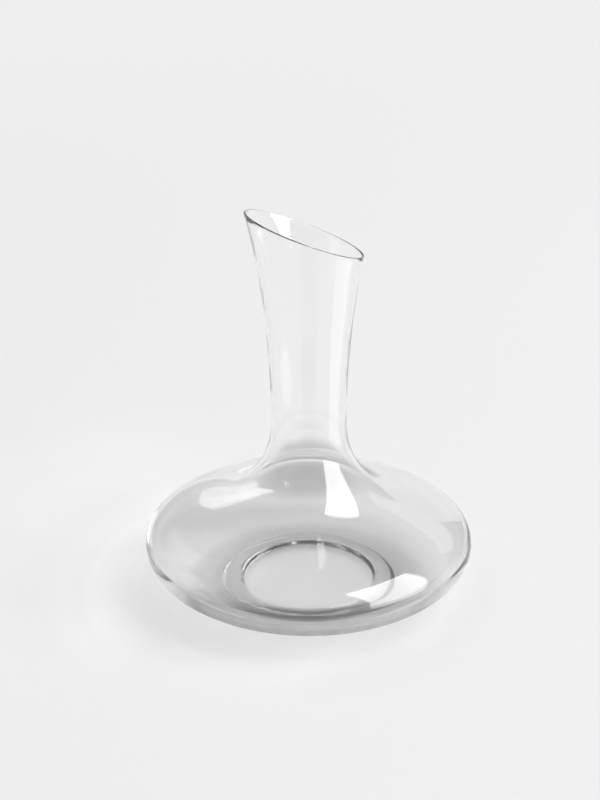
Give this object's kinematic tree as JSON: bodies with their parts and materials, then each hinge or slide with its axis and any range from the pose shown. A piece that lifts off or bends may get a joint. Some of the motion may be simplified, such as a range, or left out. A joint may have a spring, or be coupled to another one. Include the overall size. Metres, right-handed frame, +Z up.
{
  "type": "wine decanter",
  "caption": "Clear glass wine decanter with a wide low bowl, a slim flared neck and a mouth cut on a slant for pouring.",
  "frame": {"origin": "centre of the flat ring that the decanter stands on, at table height", "axes": "+Z up along the axis that the bowl and neck are turned on; -X towards the high, pouring side of the slanted mouth, so that the XZ plane is the plane of symmetry"},
  "size_m": [0.215, 0.215, 0.2625],
  "materials": {
    "clear_glass": "clear, smooth, fire-polished"
  },
  "bodies": {
    "root": {"glass_vessel": "clear_glass"}
  },
  "joints": []
}
